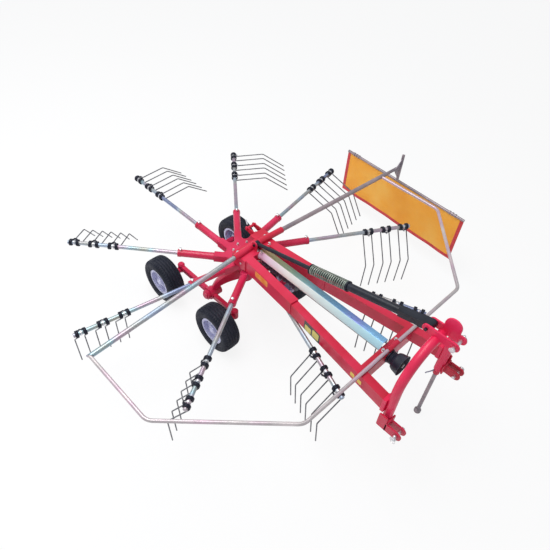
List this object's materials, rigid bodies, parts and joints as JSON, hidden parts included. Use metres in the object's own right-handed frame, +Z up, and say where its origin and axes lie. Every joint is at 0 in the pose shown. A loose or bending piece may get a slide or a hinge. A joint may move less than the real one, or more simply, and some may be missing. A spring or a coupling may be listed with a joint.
{
  "type": "rotary hay rake",
  "caption": "Tractor-mounted rotary rake: a rotor of tine arms on a wheeled column, twin beams to an arched headstock, a tube guard and a swath curtain.",
  "frame": {"origin": "centre of the machine's footprint on the ground", "axes": "-Y forward to the tractor along the power take-off, +X to the machine's left where the curtain hangs, +Z up"},
  "size_m": [3.228, 3.2003, 1.347],
  "materials": {
    "red_paint": "gloss",
    "zinc": "passivated",
    "black_steel": "satin",
    "pin_steel": "plated",
    "spring_steel": "satin",
    "boot_rubber": "matte",
    "black_plastic": "matte",
    "curtain_fabric": "woven",
    "tyre_rubber": "matte",
    "rim_paint": "satin",
    "tine_wire": "satin"
  },
  "bodies": {
    "frame": {"saddle": "red_paint", "gearbox": "red_paint", "column": "red_paint", "beam_left": "red_paint", "beam_right": "red_paint", "cross_beam": "red_paint", "headstock_arch": "red_paint", "link_yoke_left": "red_paint", "link_yoke_right": "red_paint", "top_link_plates": "red_paint", "axle_beam": "red_paint", "bogie_left": "red_paint", "bogie_right": "red_paint", "guard_arm_left": "zinc", "guard_arm_right": "zinc", "guard_side_left": "zinc", "guard_side_right": "zinc", "guard_corner_left": "zinc", "guard_corner_right": "zinc", "guard_front_run": "zinc", "strut_rod": "black_steel", "strut_tube": "black_steel", "drive_shaft": "black_steel", "link_pins": "pin_steel", "strut_spring": "spring_steel", "shaft_bellows": "boot_rubber", "pto_guard": "black_plastic", "shaft_cover": "zinc"},
    "rotor": {"rotor_hub": "red_paint", "arm_sockets": "red_paint", "tine_bar_1": "zinc", "tine_bar_2": "zinc", "tine_bar_3": "zinc", "tine_bar_4": "zinc", "tine_bar_5": "zinc", "tine_bar_6": "zinc", "tine_bar_7": "zinc", "tine_bar_8": "zinc", "tine_bar_9": "zinc", "tines_1": "tine_wire", "tines_2": "tine_wire", "tines_3": "tine_wire", "tines_4": "tine_wire", "tines_5": "tine_wire", "tines_6": "tine_wire", "tines_7": "tine_wire", "tines_8": "tine_wire", "tines_9": "tine_wire"},
    "stand": {"stand_leg": "zinc"},
    "curtain": {"curtain_carrier": "zinc", "curtain_rail": "zinc", "curtain_sheet": "curtain_fabric"},
    "wheel_front_left": {"tyre_1": "tyre_rubber", "rim_1": "rim_paint"},
    "wheel_rear_left": {"tyre_2": "tyre_rubber", "rim_2": "rim_paint"},
    "wheel_front_right": {"tyre_3": "tyre_rubber", "rim_3": "rim_paint"},
    "wheel_rear_right": {"tyre_4": "tyre_rubber", "rim_4": "rim_paint"}
  },
  "joints": [
    {"name": "rotor_turn", "type": "hinge", "parent": "frame", "child": "rotor", "pos_m": [-0.141, 0.193, 0.652], "axis": [0, 0, 1], "continuous": true},
    {"name": "wheel_front_left_turn", "type": "hinge", "parent": "frame", "child": "wheel_front_left", "pos_m": [0.277, 0.063, 0.205], "axis": [1, 0, 0], "continuous": true},
    {"name": "wheel_rear_left_turn", "type": "hinge", "parent": "frame", "child": "wheel_rear_left", "pos_m": [0.277, 0.777, 0.205], "axis": [1, 0, 0], "continuous": true},
    {"name": "wheel_front_right_turn", "type": "hinge", "parent": "frame", "child": "wheel_front_right", "pos_m": [-0.559, 0.063, 0.205], "axis": [1, 0, 0], "continuous": true},
    {"name": "wheel_rear_right_turn", "type": "hinge", "parent": "frame", "child": "wheel_rear_right", "pos_m": [-0.559, 0.777, 0.205], "axis": [1, 0, 0], "continuous": true},
    {"name": "stand_slide", "type": "slide", "parent": "frame", "child": "stand", "axis": [0, 0, 1], "range_m": [0, 0.24]},
    {"name": "curtain_slide", "type": "slide", "parent": "frame", "child": "curtain", "axis": [0.9983, -0.0591, 0], "range_m": [-0.1, 0.17]}
  ]
}
